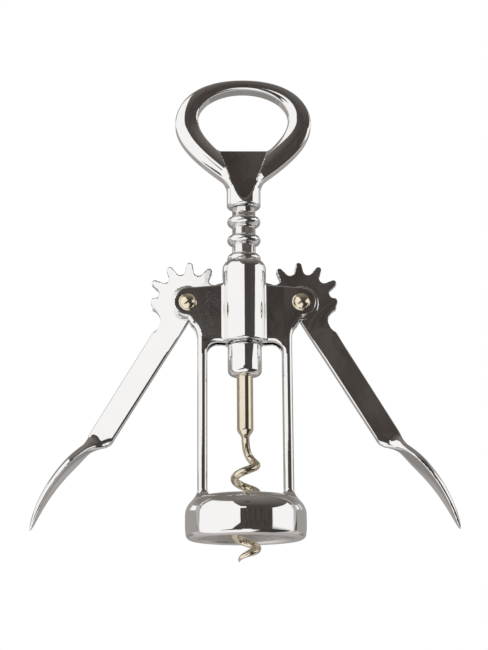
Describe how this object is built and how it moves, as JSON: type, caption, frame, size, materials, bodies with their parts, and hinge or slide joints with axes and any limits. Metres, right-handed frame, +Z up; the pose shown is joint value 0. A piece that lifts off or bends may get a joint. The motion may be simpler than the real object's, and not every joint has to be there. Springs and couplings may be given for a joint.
{
  "type": "lever corkscrew",
  "caption": "Lever corkscrew with winged arms geared to a ringed rack, a wire worm in an open cage over a bell that sits on a bottle, and a looped handle with a cap lifter",
  "frame": {"origin": "centre of the bell's rim, where the bottle's mouth enters", "axes": "+Z up along the worm's axis from the bell to the handle, +X across the levers, +Y to the back"},
  "size_m": [0.1472, 0.0418, 0.1752],
  "materials": {
    "frame_chrome": "plated zinc casting, polished",
    "lever_chrome": "plated zinc casting, polished",
    "rivet_brass": "pale brass plating",
    "rack_chrome": "plated, worn by the gears",
    "spindle_steel": "turned",
    "socket_chrome": "plated, polished",
    "worm_brass": "pale brass plating over steel wire",
    "handle_chrome": "plated zinc casting, polished"
  },
  "bodies": {
    "frame": {"frame": "frame_chrome", "left_rivet": "rivet_brass", "right_rivet": "rivet_brass"},
    "left_lever": {"left_lever": "lever_chrome"},
    "right_lever": {"right_lever": "lever_chrome"},
    "rack": {"rack": "rack_chrome"},
    "handle": {"handle": "handle_chrome", "spindle": "spindle_steel", "worm_socket": "socket_chrome", "worm": "worm_brass"}
  },
  "joints": [
    {"name": "left_lever_hinge", "type": "hinge", "parent": "frame", "child": "left_lever", "pos_m": [-0.02, 0, 0.0832], "axis": [0, 1, 0], "range_deg": [-27, 111]},
    {"name": "right_lever_hinge", "type": "hinge", "parent": "frame", "child": "right_lever", "pos_m": [0.02, 0, 0.0832], "axis": [0, -1, 0], "range_deg": [-27, 111]},
    {"name": "rack_slide", "type": "slide", "parent": "frame", "child": "rack", "axis": [0, 0, 1], "range_m": [-0.0256, 0.0063]},
    {"name": "handle_turn", "type": "hinge", "parent": "rack", "child": "handle", "pos_m": [0, 0, 0.1], "axis": [0, 0, 1], "continuous": true}
  ],
  "couplings": [
    {"joint": "right_lever_hinge", "follows": "left_lever_hinge", "ratio": 1},
    {"joint": "rack_slide", "follows": "left_lever_hinge", "m_per_rad": -0.013178}
  ]
}
